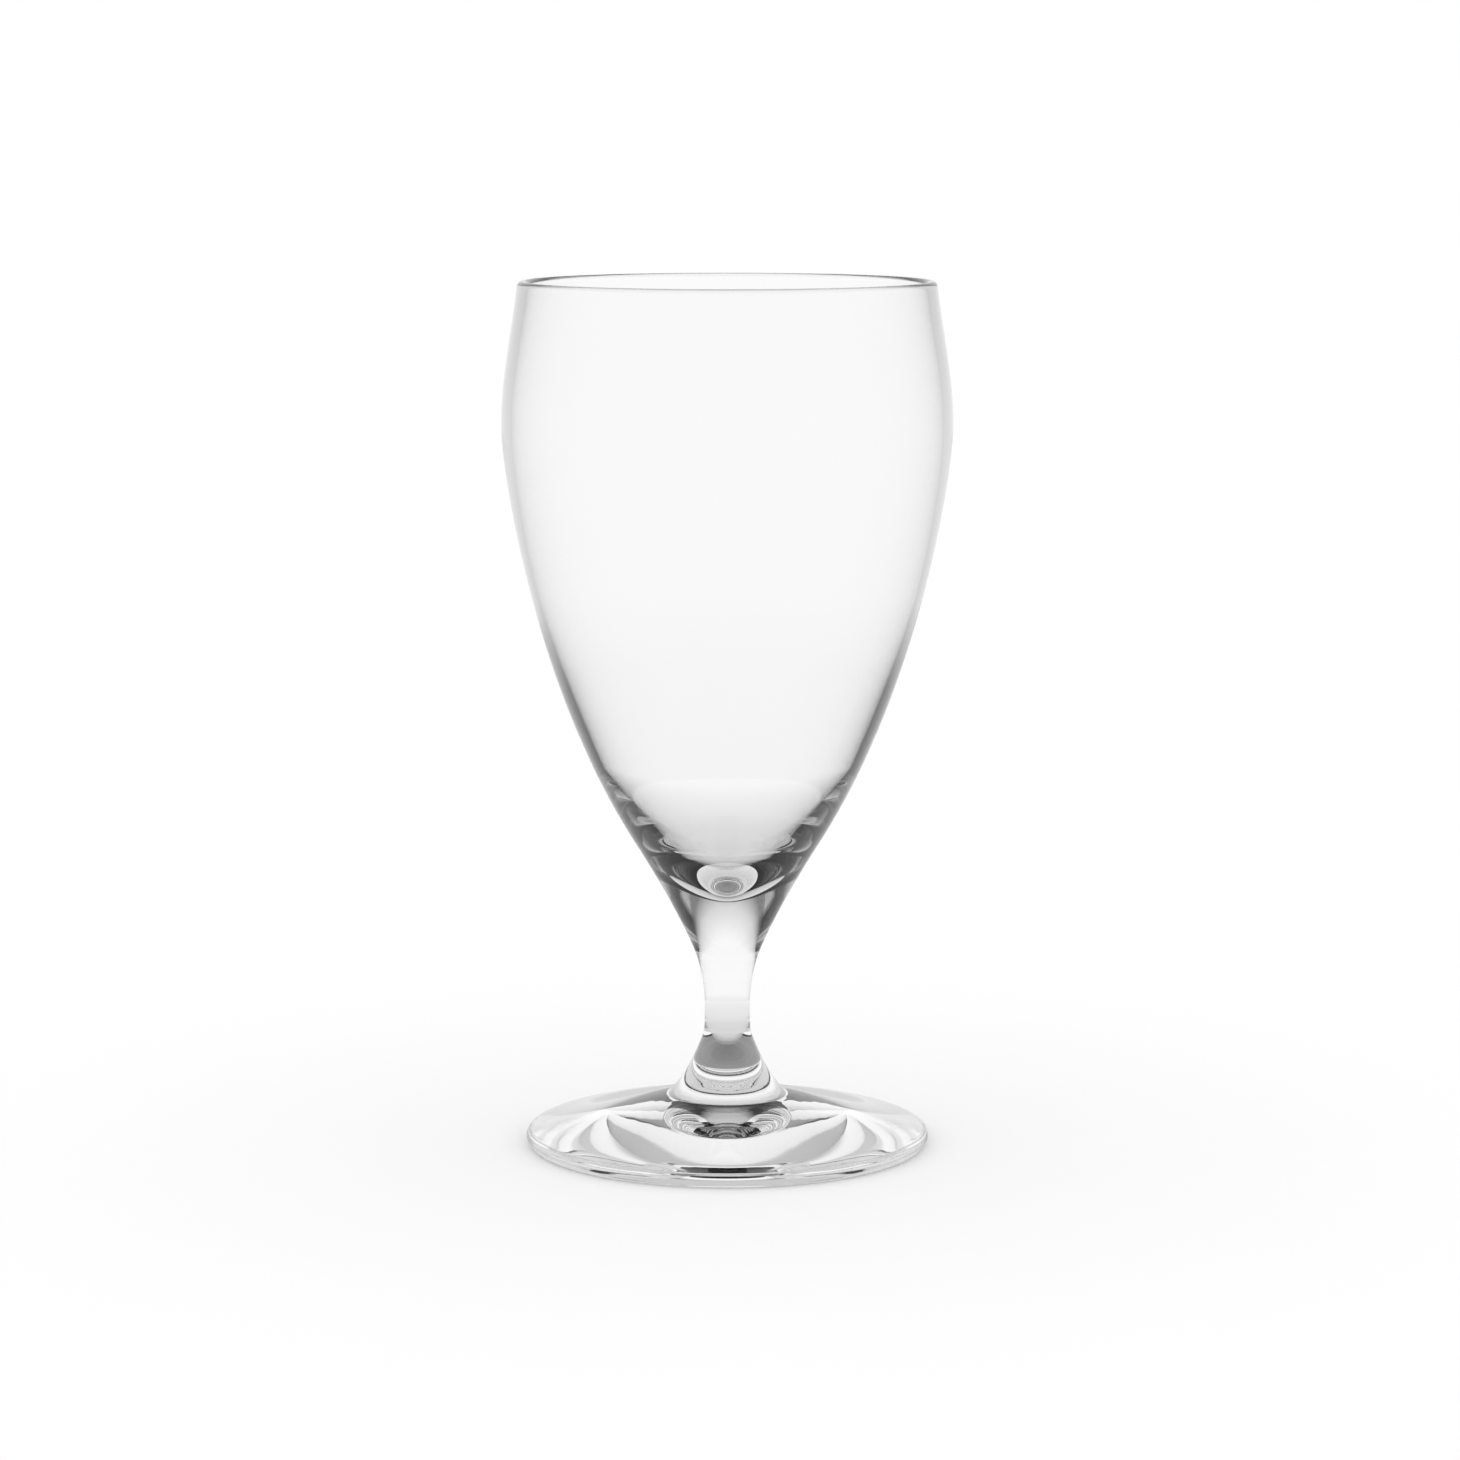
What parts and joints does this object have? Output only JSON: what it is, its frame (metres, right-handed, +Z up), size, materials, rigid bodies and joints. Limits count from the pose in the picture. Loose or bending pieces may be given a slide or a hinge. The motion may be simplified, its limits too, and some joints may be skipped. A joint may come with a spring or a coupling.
{
  "type": "beer glass",
  "caption": "Stemmed clear beer glass with a tall tulip bowl that narrows to the lip, a short waisted stem and a round flared foot.",
  "frame": {"origin": "centre of the foot's resting ring, on the table", "axes": "+Z up along the axis of the glass, X and Y level"},
  "size_m": [0.0878, 0.0878, 0.17],
  "materials": {
    "clear_glass": "fire-polished, clear"
  },
  "bodies": {
    "root": {"bowl": "clear_glass", "stem": "clear_glass", "foot": "clear_glass"}
  },
  "joints": []
}
